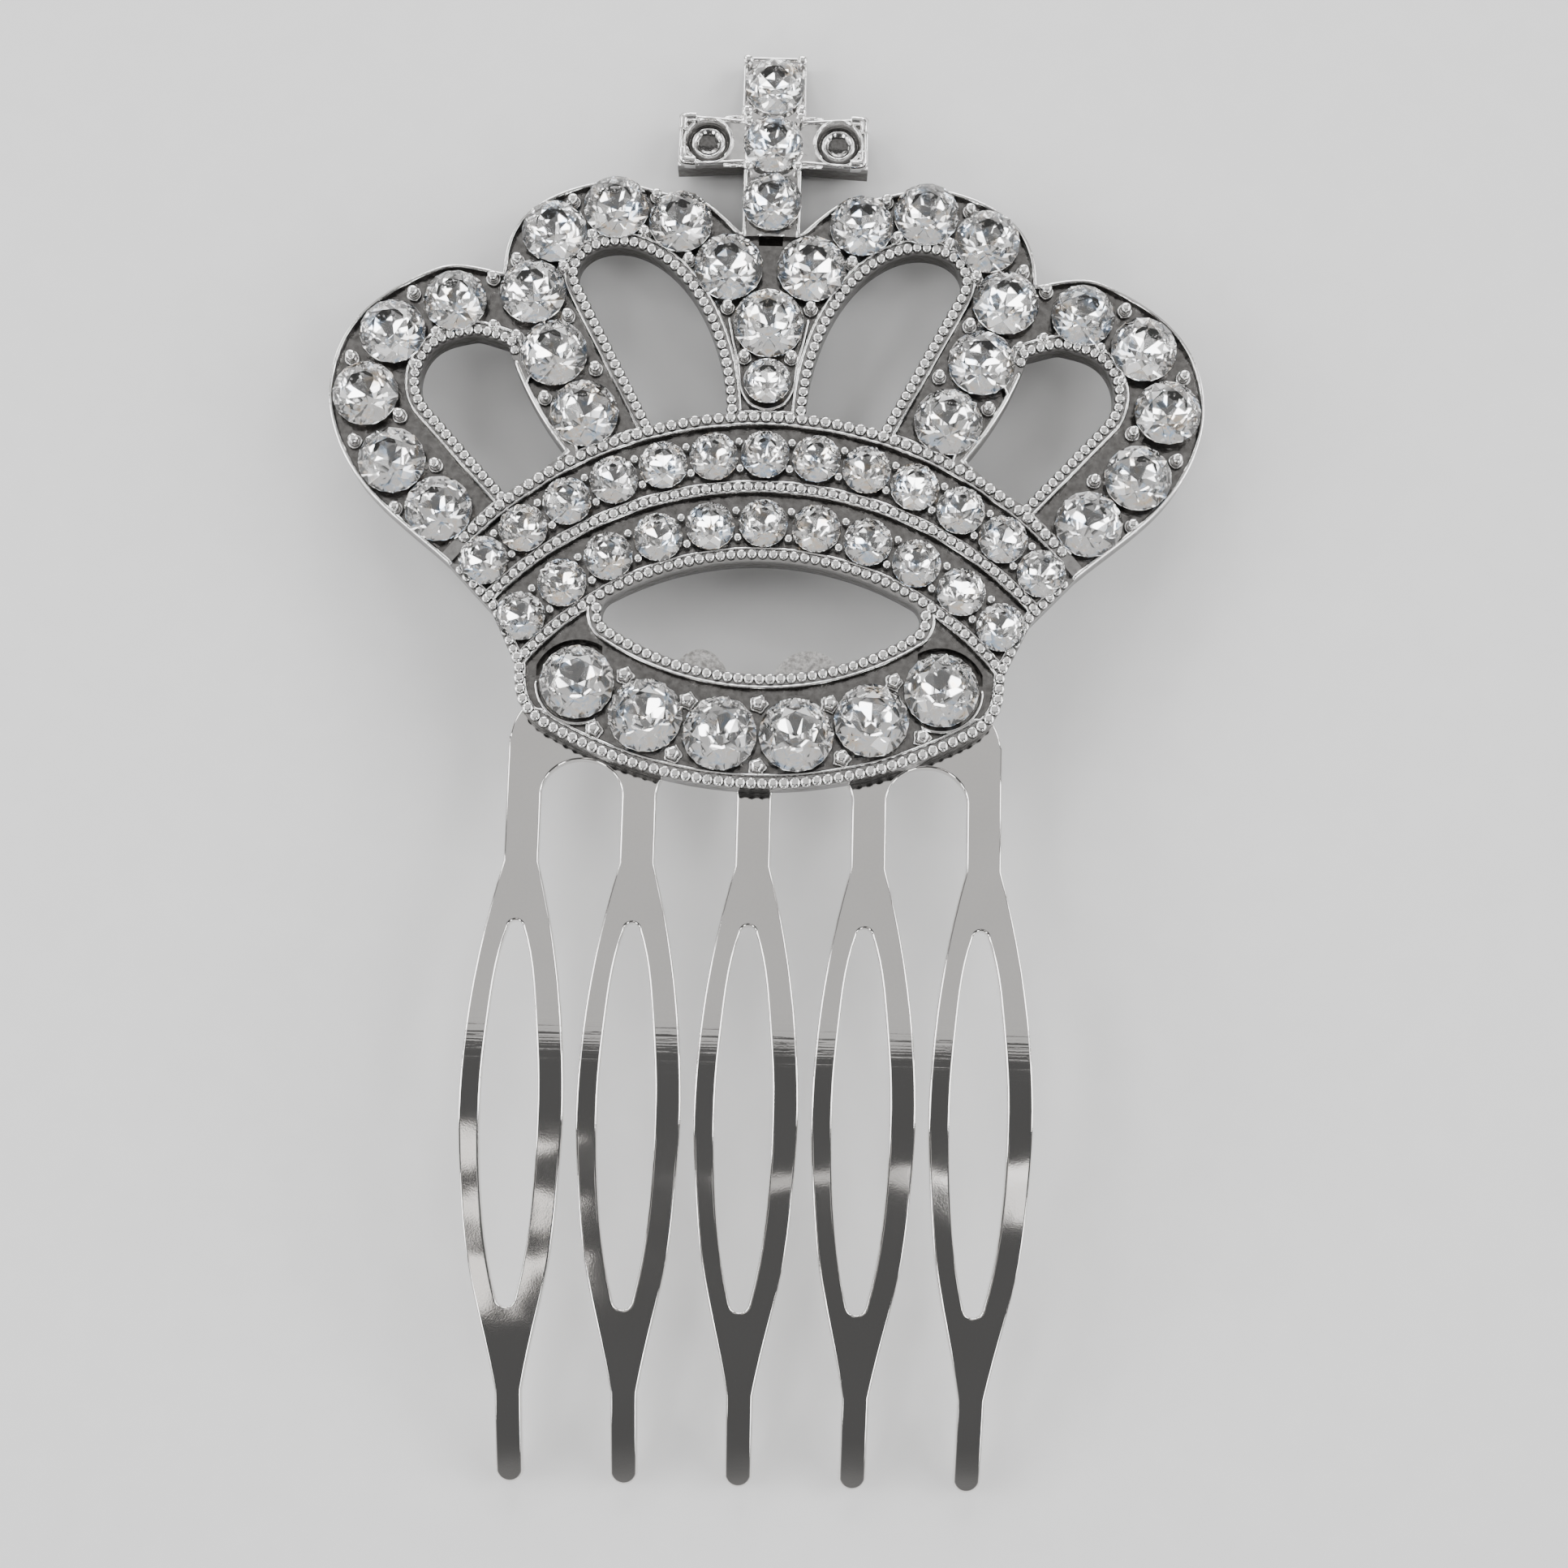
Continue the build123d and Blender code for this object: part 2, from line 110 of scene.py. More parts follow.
# camera at the photograph's place: close above, leaning a little from the teeth's side
LEAN = math.radians(10.1) - TILT
ROLL = math.radians(1.4)
DISTANCE = 0.150
PHOTO_WIDTH = 1932
FOCAL_LENGTH = 2910
SENSOR = 36
target = TO_ROW @ Vector((1.75, 0, 2.1))
right = Vector((1, 0, 0))
up = Vector((0, math.cos(LEAN), math.sin(LEAN)))
back = Vector((0, -math.sin(LEAN), math.cos(LEAN)))
across = math.cos(ROLL) * right + math.sin(ROLL) * up
upright = math.cos(ROLL) * up - math.sin(ROLL) * right
eye = bpy.data.cameras.new("camera")
eye.sensor_width = SENSOR
eye.lens = SENSOR * FOCAL_LENGTH / PHOTO_WIDTH
eye.clip_start = 0.005
eye.clip_end = 20
camera = bpy.data.objects.new("camera", eye)
bpy.context.scene.collection.objects.link(camera)
turn = Matrix((across, upright, back)).transposed().to_4x4()
camera.matrix_world = Matrix.Translation(target + DISTANCE * back) @ turn
bpy.context.scene.camera = camera


class Value:
    """An output of a node tree's nodes. Sums and products on it add Math nodes."""

    def __init__(self, finish, socket):
        self.finish = finish
        self.socket = socket

    def _math(self, operation, first, second):
        return self.finish.node("ShaderNodeMath", {"operation": operation}, {0: first, 1: second})

    def __add__(self, other):
        return self._math("ADD", self, other)

    def __radd__(self, other):
        return self._math("ADD", other, self)

    def __sub__(self, other):
        return self._math("SUBTRACT", self, other)

    def __rsub__(self, other):
        return self._math("SUBTRACT", other, self)

    def __mul__(self, other):
        return self._math("MULTIPLY", self, other)

    def __rmul__(self, other):
        return self._math("MULTIPLY", other, self)

    def between(self, low, high):
        """0 below low, 1 above high, smooth from one to the other."""
        settings = {"interpolation_type": "SMOOTHSTEP"}
        limits = {"Value": self, "From Min": low, "From Max": high}
        return self.finish.node("ShaderNodeMapRange", settings, limits)


class Nodes:
    """A node tree that nodes are added to."""

    def __init__(self, tree):
        self.tree = tree

    def node(self, kind, settings, inputs, output=0):
        made = self.tree.nodes.new(kind)
        for key, value in settings.items():
            if key == "stops":
                self._stops(made.color_ramp, value)
            else:
                setattr(made, key, value)
        for key, value in inputs.items():
            if isinstance(value, Value):
                self.tree.links.new(value.socket, made.inputs[key])
            else:
                made.inputs[key].default_value = value
        return Value(self, made.outputs[output])

    def _stops(self, ramp, stops):
        while len(ramp.elements) > len(stops):
            ramp.elements.remove(ramp.elements[-1])
        while len(ramp.elements) < len(stops):
            ramp.elements.new(0.5)
        for element, (place, colour) in zip(ramp.elements, stops):
            element.position = place
            element.color = colour

    def part(self, vector, axis):
        """One of X, Y and Z of a vector."""
        return self.node("ShaderNodeSeparateXYZ", {}, {0: vector}, axis)

    def mix(self, amount, first, second):
        """A colour that goes from first to second with amount."""
        ends = ((0.0, first), (1.0, second))
        return self.node("ShaderNodeValToRGB", {"stops": ends}, {0: amount})


class Finish(Nodes):
    """A material built from one Principled shader and the nodes that vary it."""

    def __init__(self, name, **constants):
        self.material = bpy.data.materials.new(name)
        self.material.use_nodes = True
        super().__init__(self.material.node_tree)
        self.shader = self.tree.nodes["Principled BSDF"]
        for socket, value in constants.items():
            self.shader.inputs[socket.replace("_", " ")].default_value = value

    def place(self):
        """The point in the crown's own drawing, in millimetres."""
        here = self.node("ShaderNodeTexCoord", {}, {}, "Object")
        from_crown = {0: here, 1: tuple(SHIFT / 1000)}
        lowered = self.node("ShaderNodeVectorMath", {"operation": "SUBTRACT"}, from_crown)
        turned_back = {"Vector": lowered, "Rotation": (TILT, 0, 0), "Scale": (1000, 1000, 1000)}
        return self.node("ShaderNodeMapping", {"vector_type": "POINT"}, turned_back)

    def noise(self, place, scale, detail=3.0, rough=0.5):
        inputs = {"Vector": place, "Scale": scale, "Detail": detail, "Roughness": rough}
        return self.node("ShaderNodeTexNoise", {}, inputs)

    def feed(self, socket, value):
        self.tree.links.new(value.socket, self.shader.inputs[socket])

    def bump(self, height, strength, distance):
        inputs = {"Height": height, "Strength": strength, "Distance": distance}
        self.feed("Normal", self.node("ShaderNodeBump", {}, inputs))


def grey(level, warm=0.0):
    """A grey, a little warm where asked."""
    return (level * (1 + warm), level, level * (1 - warm), 1.0)


def plated_casting():
    """Bright plating on a cast face, with painted shade that makes it dark down in the tray; the middle of
    the cross is kept out of that shade and is bright and smooth.
    """
    finish = Finish("plated_casting", Metallic=1.0)
    place = finish.place()
    height = finish.part(place, "Z")
    sideways = finish.node("ShaderNodeMath", {"operation": "ABSOLUTE"}, {0: finish.part(place, "X")})
    middle = finish.part(place, "Y").between(40.9, 41.6) * (1 - sideways.between(2.7, 3.1))
    cross = middle * height.between(1.4, 1.6)
    # painted shade: these two masks darken the casting below the rims and again down on the tray floor, with
    # the middle of the cross left out
    deep = (1 - height.between(1.6, 1.95)) * (1 - 0.85 * cross)
    painted_floor_shade = 1 - height.between(0.9, 1.45)
    fine = finish.noise(place, 2.2, 4.0)
    broad = finish.noise(place, 0.5, 2.0)
    tone = deep * 0.8 + painted_floor_shade * 0.3 + (fine - 0.5) * 0.35
    finish.feed("Base Color", finish.mix(tone, grey(0.86, 0.01), grey(0.1, 0.05)))
    finish.feed("Roughness", fine * 0.14 + deep * 0.1 + 0.02)
    finish.bump(broad * 0.8 + fine * (0.1 + 0.25 * deep), 0.5, 0.0003)
    return finish.material


def plating_with_painted_shade(name, foot, crown):
    """The same bright plating, with painted shade that makes it dark in the gaps below the height foot and
    clear above crown.
    """
    finish = Finish(name, Metallic=1.0)
    place = finish.place()
    fine = finish.noise(place, 5.0, 3.0)
    # painted shade: the plating darkens below the height foot, in the gaps between beads and at the feet of
    # rails, prongs and cups
    low = 1 - finish.part(place, "Z").between(foot, crown)
    tone = low * 0.95 + (fine - 0.4) * 0.2
    finish.feed("Base Color", finish.mix(tone, grey(0.95, 0.008), grey(0.07, 0.05)))
    finish.feed("Roughness", fine * 0.16 + 0.04)
    finish.bump(fine, 0.15, 0.0001)
    return finish.material


def polished_steel():
    """Polished sheet with long soft waves and a few fine marks across it where it was bent."""
    finish = Finish("polished_steel", Metallic=1.0)
    place = finish.place()
    broad = finish.noise(place, 0.12, 2.0)
    along = finish.part(place, "Y")
    stretched = {"X": finish.noise(place, 0.3) * 0.9, "Y": along * 2.1}
    marks = finish.noise(finish.node("ShaderNodeCombineXYZ", {}, stretched), 1.0, 3.0)
    at_bend = along.between(-20.0, -16.5) * (1 - along.between(-15.5, -13.5))
    scratches = finish.noise(place, 9.0, 2.0)
    tone = broad * 0.5 + scratches * 0.2
    finish.feed("Base Color", finish.mix(tone, grey(0.80, 0.015), grey(0.62, 0.03)))
    finish.feed("Roughness", scratches * 0.06 + 0.04)
    finish.bump(broad * 0.35 + at_bend * marks * 0.05 + scratches * 0.003, 0.5, 0.0006)
    return finish.material


def clear_stone():
    """Clear cut glass of the upper facets."""
    finish = Finish("clear_stone", Roughness=0.0, IOR=1.56)
    finish.shader.inputs["Base Color"].default_value = (1, 1, 1, 1)
    finish.shader.inputs["Transmission Weight"].default_value = 1.0
    return finish.material


def stone_foil():
    """Silvered lower facets, seen through the glass, with faint touches of blue and amber."""
    finish = Finish("stone_foil", Metallic=1.0, Roughness=0.06)
    place = finish.place()
    tint = finish.noise(place, 1.1, 1.0)
    blue, amber = (0.72, 0.84, 1.0, 1), (1.0, 0.88, 0.74, 1)
    stops = ((0.28, blue), (0.40, grey(0.96)), (0.62, grey(0.95, 0.01)), (0.75, amber))
    finish.feed("Base Color", finish.node("ShaderNodeValToRGB", {"stops": stops}, {0: tint}))
    return finish.material


def cloudy_glue():
    """Clear glue gone cloudy, with fluff caught in it."""
    finish = Finish("clear_glue", Roughness=0.3, IOR=1.46)
    finish.shader.inputs["Subsurface Weight"].default_value = 0.4
    finish.shader.inputs["Subsurface Radius"].default_value = (0.001, 0.001, 0.001)
    place = finish.place()
    fluff = finish.noise(place, 2.6, 6.0, 0.75)
    tone = fluff.between(0.35, 0.62)
    finish.feed("Base Color", finish.mix(tone, grey(0.38, 0.04), grey(0.85, 0.02)))
    finish.feed("Alpha", fluff * 0.4 + 0.7)
    finish.bump(fluff, 1.0, 0.0006)
    return finish.material


CASTING = plated_casting()
BEAD = plating_with_painted_shade("bright_bead", 1.8, 1.94)
RAIL = plating_with_painted_shade("bright_rail", 1.3, 1.6)
CUP = plating_with_painted_shade("bright_cup", 1.12, 1.5)
STEEL = polished_steel()
STONE = clear_stone()
FOIL = stone_foil()
GLUE = cloudy_glue()


def piece(name, points, faces, material):
    """A mesh drawn in the crown's own millimetres, as a piece on the comb."""
    mesh = bpy.data.meshes.new(name)
    mesh.from_pydata([TO_ROW @ Vector(p) for p in points], [], faces)
    mesh.polygons.foreach_set("use_smooth", [True] * len(mesh.polygons))
    mesh.materials.append(material)
    made = bpy.data.objects.new(name, mesh)
    bpy.context.scene.collection.objects.link(made)
    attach(made, "root")
    return made


# collars wider than this are scalloped, by this share of their radius
SCALLOPED = 0.36
SCALLOP = 0.13


class Shape:
    """Points and faces that grow into one piece."""

    def __init__(self):
        self.points = []
        self.faces = []

    def turned(self, centre, profile, sides=12, square=0, along=(1, 0), stretch=1.0, lobes=0):
        """A turned form: profile is a list of radius and height, from its foot to its crown.

        A square above 2 squares it off, stretch widens it across the direction along, and lobes
        scallop the parts wider than a prong's ball."""
        x, y, z = centre
        span = math.hypot(*along) or 1.0
        tx, ty = along[0] / span, along[1] / span
        rings = []
        for radius, height in profile:
            if radius < 1e-6:
                rings.append([len(self.points)])
                self.points.append((x, y, z + height))
                continue
            rings.append(list(range(len(self.points), len(self.points) + sides)))
            for k in range(sides):
                angle = 2 * math.pi * k / sides
                c, d = math.cos(angle), math.sin(angle)
                reach = radius
                if square:
                    reach /= (abs(c) ** square + abs(d) ** square) ** (1 / square)
                if lobes and radius > SCALLOPED:
                    reach *= 1 + SCALLOP * math.cos(lobes * angle)
                forth, side = reach * c, reach * d * stretch
                self.points.append((x + forth * tx - side * ty, y + forth * ty + side * tx, z + height))
        for low, high in zip(rings, rings[1:]):
            for k in range(sides):
                after = (k + 1) % sides
                if len(high) == 1:
                    self.faces.append((low[k], low[after], high[0]))
                elif len(low) == 1:
                    self.faces.append((low[0], high[after], high[k]))
                else:
                    self.faces.append((low[k], low[after], high[after], high[k]))

    def strip(self, path, profile, closed):
        """A closed profile of sideways reach and height, swept along a path of x, y."""
        start, count, sides = len(self.points), len(path), len(profile)
        for (x, y), (nx, ny) in zip(path, left_of(path, closed)):
            self.points += [(x + nx * out, y + ny * out, z) for out, z in profile]
        for i in range(count if closed else count - 1):
            here, there = start + i * sides, start + ((i + 1) % count) * sides
            for k in range(sides):
                after = (k + 1) % sides
                self.faces.append((here + k, there + k, there + after, here + after))
        if not closed:
            self.faces.append(tuple(start + k for k in range(sides)))
            self.faces.append(tuple(start + (count - 1) * sides + k for k in reversed(range(sides))))

    def into(self, name, material):
        return piece(name, self.points, self.faces, material)


def round_profile(radius, middle, sides=8):
    """A round rail, as reach and height."""
    steps = [2 * math.pi * k / sides for k in range(sides)]
    return [(radius * math.cos(a), middle + radius * math.sin(a)) for a in steps]


def wall_profile(half, foot, top):
    """A thin wall with a rounded top, as reach and height."""
    side = [(half, foot), (half, top - half), (half * 0.75, top - half * 0.3), (half * 0.3, top)]
    return side + [(-reach, height) for reach, height in side[::-1]]


def left_of(path, closed=True):
    """Vectors to the left of a path, a little longer at its corners."""
    count, sideways = len(path), []
    for i in range(count):
        ends = []
        for j in (i - 1, i):
            if closed or 0 <= j < count - 1:
                (ax, ay), (bx, by) = path[j % count], path[(j + 1) % count]
                span = math.dist((ax, ay), (bx, by)) or 1.0
                ends.append(((ay - by) / span, (bx - ax) / span))
        nx, ny = sum(e[0] for e in ends), sum(e[1] for e in ends)
        span = math.hypot(nx, ny) or 1.0
        nx, ny = nx / span, ny / span
        miter = max(0.7, nx * ends[0][0] + ny * ends[0][1])
        sideways.append((nx / miter, ny / miter))
    return sideways


def offset(path, distance, closed=True):
    """The path moved sideways, to its left for a positive distance."""
    sideways = left_of(path, closed)
    return [(x + nx * distance, y + ny * distance) for (x, y), (nx, ny) in zip(path, sideways)]


def lengths(path):
    """Length run at each point of a path."""
    run = [0.0]
    for a, b in zip(path, path[1:]):
        run.append(run[-1] + math.dist(a, b))
    return run


def evenly(path, pitch):
    """Points at an even pitch along a path."""
    run = lengths(path)
    count = max(1, round(run[-1] / pitch))
    places, i = [], 0
    for n in range(count + 1):
        want = run[-1] * n / count
        while i < len(run) - 2 and run[i + 1] < want:
            i += 1
        part = (want - run[i]) / ((run[i + 1] - run[i]) or 1.0)
        places.append(tuple(a + (b - a) * part for a, b in zip(path[i], path[i + 1])))
    return places


def finer(path, step):
    """A closed path with points no further apart than the step."""
    fine = []
    for a, b in zip(path, path[1:] + path[:1]):
        parts = max(1, math.ceil(math.dist(a, b) / step))
        fine += [tuple(u + (v - u) * k / parts for u, v in zip(a, b)) for k in range(parts)]
    return fine


def arc(spec):
    """The points of a band arc, from left to right."""
    centre, radius, half = spec
    steps = [math.radians(half * (n / 60 - 1)) for n in range(121)]
    return [(radius * math.sin(a), centre + radius * math.cos(a)) for a in steps]


def area(path):
    return sum(a[0] * b[1] - b[0] * a[1] for a, b in zip(path, path[1:] + path[:1])) / 2


def anticlockwise(path):
    return path if area(path) > 0 else path[::-1]


def edge_chains(name, wanted):
    """Edges of a CAD node that pass a test, joined into paths of x, y, each with whether it closes."""
    mesh = bmesh.new()
    mesh.from_mesh(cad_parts[name].data)
    bmesh.ops.transform(mesh, matrix=TO_DRAWING, verts=mesh.verts)
    bmesh.ops.remove_doubles(mesh, verts=mesh.verts, dist=0.002)
    mesh.normal_update()
    tree = BVHTree.FromBMesh(mesh)
    links = {}
    for edge in mesh.edges:
        if len(edge.link_faces) == 2 and wanted(edge, tree):
            a, b = edge.verts
            links.setdefault(a, []).append(b)
            links.setdefault(b, []).append(a)
    chains, left = [], set(links)
    for start in sorted(links, key=lambda v: (len(links[v]) == 2, v.index)):
        if start not in left:
            continue
        chain = [start]
        left.discard(start)
        while True:
            onward = [v for v in links[chain[-1]] if v in left]
            if not onward:
                break
            chain.append(onward[0])
            left.discard(onward[0])
        if len(chain) > 3:
            chains.append(([(v.co.x, v.co.y) for v in chain], chain[0] in links[chain[-1]]))
    mesh.free()
    return chains


def on_back(edge, tree):
    """Edges round the casting's flat back."""
    level = all(abs(v.co.z) < 0.01 for v in edge.verts)
    rises = [f.normal.z for f in edge.link_faces]
    return level and min(rises) < -0.99 and max(rises) > -0.95


def on_ledge(edge, tree):
    """Edges at the height of the rims, where a wall goes down to a floor."""
    if any(abs(v.co.z - RIM_TOP) > 0.01 for v in edge.verts):
        return False
    wall = [f for f in edge.link_faces if abs(f.normal.z) < 0.95]
    if len(wall) != 1 or not any(f.normal.z > 0.99 for f in edge.link_faces):
        return False
    a, b = edge.verts
    beside = (a.co + b.co) / 2 + wall[0].normal * 0.05
    above = Vector((beside.x, beside.y, RIM_TOP - 0.02))
    return tree.ray_cast(above, Vector((0, 0, -1)))[0] is not None


def on_comb_front(edge, tree):
    """Edges round the comb's front face and its slots."""
    on_front = all(abs(v.co.z - sheet_height(v.co.y, 0)) < 0.03 for v in edge.verts)
    walls = [f for f in edge.link_faces if abs(f.normal.z) < 0.3]
    return on_front and len(walls) == 1


def runs(path, closed, test):
    """The unbroken runs of a path that pass a test."""
    if closed and all(test(p) for p in path):
        return [path + path[:1]]
    if closed:
        first = [test(p) for p in path].index(False)
        path = path[first:] + path[:first]
    found, run = [], []
    for point in path + [None]:
        if point is not None and test(point):
            run.append(point)
        elif run:
            found.append(run)
            run = []
    return [run for run in found if len(run) > 2]


def longest(path, test):
    """The longest run of a closed path that passes a test."""
    return max(runs(path, True, test), key=lambda r: lengths(r)[-1])


through = [anticlockwise(path) for path, closed in edge_chains("crown_frame", on_back) if closed]
outline = max(through, key=area)
holes = [p for p in through if p is not outline and area(p) > 20]
oval = max(holes, key=lambda p: max(x for x, _ in p) - min(x for x, _ in p))
upper_holes = [p for p in holes if p is not oval]


def middle_x(path):
    return (min(x for x, _ in path) + max(x for x, _ in path)) / 2


def above_band(point, spare=0.0):
    x, y = point
    centre, radius, _ = BAND_TOP
    return math.hypot(x, y - centre) > radius + spare


strung = []
BEAD_PROFILE = (
    (1.0, -0.35), (1.0, 0.15), (0.95, 0.45), (0.8, 0.7), (0.6, 0.84), (0.38, 0.86), (0.0, 0.79),
)
draw = random.Random(11)


def beads(shape, path, pitch, size, stretch=1.0):
    """A row of small round beads along a path of x, y, no two quite alike."""
    places = evenly(path, pitch)
    for i, (x, y) in enumerate(places):
        before, after = places[max(i - 1, 0)], places[min(i + 1, len(places) - 1)]
        own = size * draw.uniform(0.95, 1.05)
        strung.append((x, y))
        along = (after[0] - before[0], after[1] - before[1])
        profile = [(own * r, own * h) for r, h in BEAD_PROFILE]
        shape.turned((x, y, RIM_TOP), profile, along=along, stretch=stretch)


def beaded_edges():
    """The milgrain: along the band and its ends, round the ring, the loops and the arches."""
    band = Shape()
    beads(band, arc(BAND_TOP), 0.78, 0.39)
    beads(band, arc(BAND_MIDDLE), 0.69, 0.35)
    beads(band, arc(BAND_LOW), 0.69, 0.35)
    side = finer(offset(outline, EDGE), 0.2)
    for sign in (1, -1):
        end = longest(side, lambda p: sign * p[0] > 15.7 and 8.3 < p[1] < 13.7)
        beads(band, end, 0.66, 0.32)
    band.into("milgrain_band", BEAD)

    ring = Shape()
    beads(ring, longest(side, lambda p: p[1] < 8.0), 0.7, 0.37, 1.05)
    centre, radius, _ = BAND_LOW
    line = finer(offset(oval, -EDGE), 0.2)
    lower = longest(line, lambda p: math.hypot(p[0], p[1] - centre) < radius - 0.6)
    beads(ring, lower, 0.68, 0.36, 1.04)
    ring.into("milgrain_ring", BEAD)

    loops, arches = Shape(), Shape()
    for hole in upper_holes:
        line = finer(offset(hole, -EDGE), 0.2)
        if abs(middle_x(hole)) > 12:
            sign = 1 if middle_x(hole) > 0 else -1
            outer = longest(line, lambda p: above_band(p, 0.38) and (sign * p[0] > 16.6 or p[1] > 29.5))
            beads(loops, outer, 0.62, 0.33, 1.12)
        else:
            beads(arches, longest(line, lambda p: above_band(p, 0.42)), 0.64, 0.34, 1.1)
    loops.into("milgrain_loops", BEAD)
    arches.into("milgrain_arches", BEAD)


def nearest(point, others):
    """Distance to the nearest of the other points."""
    return min(math.dist(point, other) for other in others)


def rims():
    """Rounded rims where no beads run, and fine bright lines along the ledges inside the beads."""
    rim, ledge = Shape(), Shape()
    for path in [outline] + [p[::-1] for p in holes]:
        for run in runs(finer(path, 0.3), True, lambda p: nearest(p, strung) > 0.55):
            rim.strip(offset(run, 0.15, False), round_profile(0.15, RIM_TOP), False)
    rim.into("rim_rails", RAIL)
    border = finer(outline, 0.3)
    for path, closed in edge_chains("crown_frame", on_ledge):
        if lengths(path)[-1] < 4:
            continue
        for run in runs(path, closed, lambda p: nearest(p, border) > 0.5):
            ledge.strip(run, round_profile(0.11, RIM_TOP + 0.05, 6), False)
    ledge.into("ledge_lines", RAIL)


def bezels():
    """Thin walls round the lower middle stone and round the outer ends of the ring."""
    shape = Shape()
    right = [(0.62, 25.13), (1.2, 25.5), (1.72, 26.5), (1.98, 28.2), (2.32, 29.8), (2.6, 31.2)]
    path = [(-x, y) for x, y in right[::-1]] + [(0, 24.98)] + right
    shape.strip(smoothed(path), wall_profile(0.12, TRAY_FLOOR - 0.05, RIM_TOP + 0.08), False)
    x, y = RING_END
    reach = RING_STONE + 0.24
    angles = [math.radians(-118 + 5 * k) for k in range(25)]
    for side in (1, -1):
        curve = [(side * (x + reach * math.cos(a)), y + reach * math.sin(a)) for a in angles]
        shape.strip(curve, wall_profile(0.11, TRAY_FLOOR - 0.05, RIM_TOP + 0.1), False)
    shape.into("bezel_walls", RAIL)


def smoothed(path, steps=8):
    """A smooth curve through the points of an open path."""
    ends = [path[0]] + path + [path[-1]]
    curve = []
    for a, b, c, d in zip(ends, ends[1:], ends[2:], ends[3:]):
        for k in range(steps):
            t = k / steps
            curve.append(tuple(
                0.5 * (2 * q + (r - p) * t + (2 * p - 5 * q + 4 * r - u) * t**2
                       + (3 * q - p - 3 * r + u) * t**3)
                for p, q, r, u in zip(a, b, c, d)
            ))
    return curve + [path[-1]]


def prong_tops():
    """Where the casting's round prongs stand, found on its own mesh."""
    found = []
    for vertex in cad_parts["crown_frame"].data.vertices:
        x, y, z = TO_DRAWING @ vertex.co
        if abs(z - PRONG_TOP) > 0.01:
            continue
        near = [spot for spot in found if math.hypot(spot[0][0] - x, spot[0][1] - y) < 0.7]
        if near:
            near[0].append((x, y))
        else:
            found.append([(x, y)])
    places = []
    for spot in found:
        low = [min(p[k] for p in spot) for k in (0, 1)]
        high = [max(p[k] for p in spot) for k in (0, 1)]
        places.append(((low[0] + high[0]) / 2, (low[1] + high[1]) / 2))
    return places


# a prong's collar and ball, as radius and height over the tray
COLLAR = ((0.47, 0.0), (0.47, 0.22), (0.43, 0.3), (0.38, 0.26), (0.34, 0.12))
BALL = (
    (0.29, 0.14), (0.29, 0.72), (0.32, 0.82), (0.325, 0.92),
    (0.29, 1.03), (0.2, 1.1), (0.1, 1.12), (0.0, 1.1),
)


def prongs():
    """A ball on every prong, in a collar that is scalloped on the ring, and smaller ones in the rows."""
    shape, small = Shape(), Shape()
    for x, y in prong_tops():
        if y > CROSS_FOOT:
            shape.turned((x, y, TRAY_FLOOR), BALL, 14)
        else:
            size = 1.25 if y < 8 else 1.05
            profile = [(size * r, h) for r, h in COLLAR + BALL]
            shape.turned((x, y, TRAY_FLOOR), profile, 20, lobes=5 if y < 8 else 0)
    shape.into("prong_beads", RAIL)
    profile = [(r * 0.85, h * 0.72) for r, h in BALL]
    for centre, radius, count, turn_by in ROWS:
        for i in range(count - 1):
            angle = math.radians((i + 0.5 - (count - 1) / 2) * turn_by)
            for side in (0.9, -0.9):
                x, y = (radius + side) * math.sin(angle), centre + (radius + side) * math.cos(angle)
                small.turned((x, y, TRAY_FLOOR), profile)
    small.into("row_prongs", RAIL)


# an arm's empty seat and a claw of the head, as radius and height over the crown's back
BOWL = (
    (1.70, 1.6), (1.69, 1.78), (1.64, 1.86), (1.58, 1.84), (1.52, 1.70), (1.42, 1.35), (1.32, 1.16),
    (1.24, 1.14), (1.14, 1.26), (1.05, 1.42), (0.97, 1.47), (0.88, 1.42), (0.76, 1.26), (0.66, 1.2),
    (0.0, 1.2),
)
HEAD_CLAW = ((0.33, 0.9), (0.35, 2.1), (0.33, 2.28), (0.24, 2.4), (0.1, 2.44), (0.0, 2.44))


def cross_work():
    """The empty polished seats in the arms, the corner claws and the fine rims of the cross."""
    cups, claws, rails = Shape(), Shape(), Shape()
    corner = HEAD_HALF - 0.33
    for sign in (1, -1):
        cups.turned((sign * ARM_CUP_X, CROSS_CENTRE, 0), BOWL, 64)
        for end in (1, -1):
            x, y = CROSS_ARM - 0.3, CROSS_CENTRE + end * (CROSS_HALF - 0.3)
            bend = [(x, y - end * 0.85), (x, y - end * 0.3), (x - 0.08, y - end * 0.08), (x - 0.3, y)]
            bend = [(sign * far, side) for far, side in bend + [(x - 0.9, y + end * 0.02)]]
            claws.strip(smoothed(bend, 5), wall_profile(0.3, RIM_TOP - 0.3, RIM_TOP + 0.6), False)
            edge_y = CROSS_CENTRE + end * (CROSS_HALF - 0.11)
            rail = [(sign * 1.9, edge_y), (sign * 3.3, edge_y)]
            rails.strip(rail, round_profile(0.11, RIM_TOP + 0.02), False)
            claws.turned((sign * corner, HEAD_CENTRE + end * corner, 0), HEAD_CLAW, 16, 3)
    cups.into("arm_cups", CUP)
    claws.into("cross_claws", RAIL)
    rails.into("cross_rails", RAIL)


def inside(point, path):
    """Whether a point lies within a closed path."""
    x, y = point
    crossed = False
    for (ax, ay), (bx, by) in zip(path, path[1:] + path[:1]):
        if (ay > y) != (by > y) and x < ax + (bx - ax) * (y - ay) / (by - ay):
            crossed = not crossed
    return crossed


